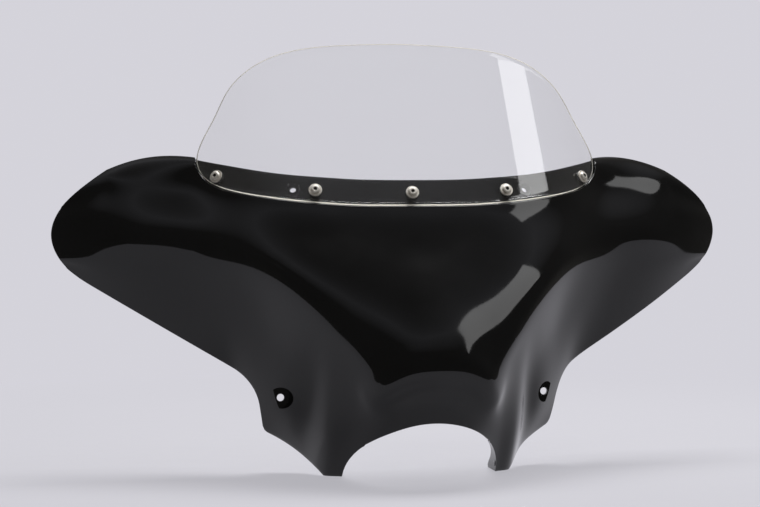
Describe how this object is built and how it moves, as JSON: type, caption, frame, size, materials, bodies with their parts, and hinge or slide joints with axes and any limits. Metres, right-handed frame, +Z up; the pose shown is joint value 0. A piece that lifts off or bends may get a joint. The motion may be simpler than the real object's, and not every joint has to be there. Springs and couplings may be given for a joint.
{
  "type": "motorcycle fairing",
  "caption": "Wide handlebar fairing for a motorcycle: moulded gloss-black shell with a rolled brow, swept wings and headlight arch, carrying a clear screwed-on windshield.",
  "frame": {"origin": "midway between the two bracket bolts of the lower wings, in the plane of the pocket floors they bear on", "axes": "+X sideways across the wings, -Y to the front of the fairing, +Z up"},
  "size_m": [0.838, 0.2725, 0.5119],
  "materials": {
    "black_gelcoat": "gloss black gelcoat on fibreglass",
    "clear_polycarbonate": "clear, polished faces, pale cut edge",
    "stainless_steel": "bright stainless steel",
    "black_rubber": "matt black rubber",
    "zinc_steel": "zinc-plated steel"
  },
  "bodies": {
    "root": {"fairing_shell": "black_gelcoat", "windshield": "clear_polycarbonate", "windshield_screws": "stainless_steel", "windshield_washers": "stainless_steel", "rubber_washers": "black_rubber", "lock_nuts": "zinc_steel"}
  },
  "joints": []
}
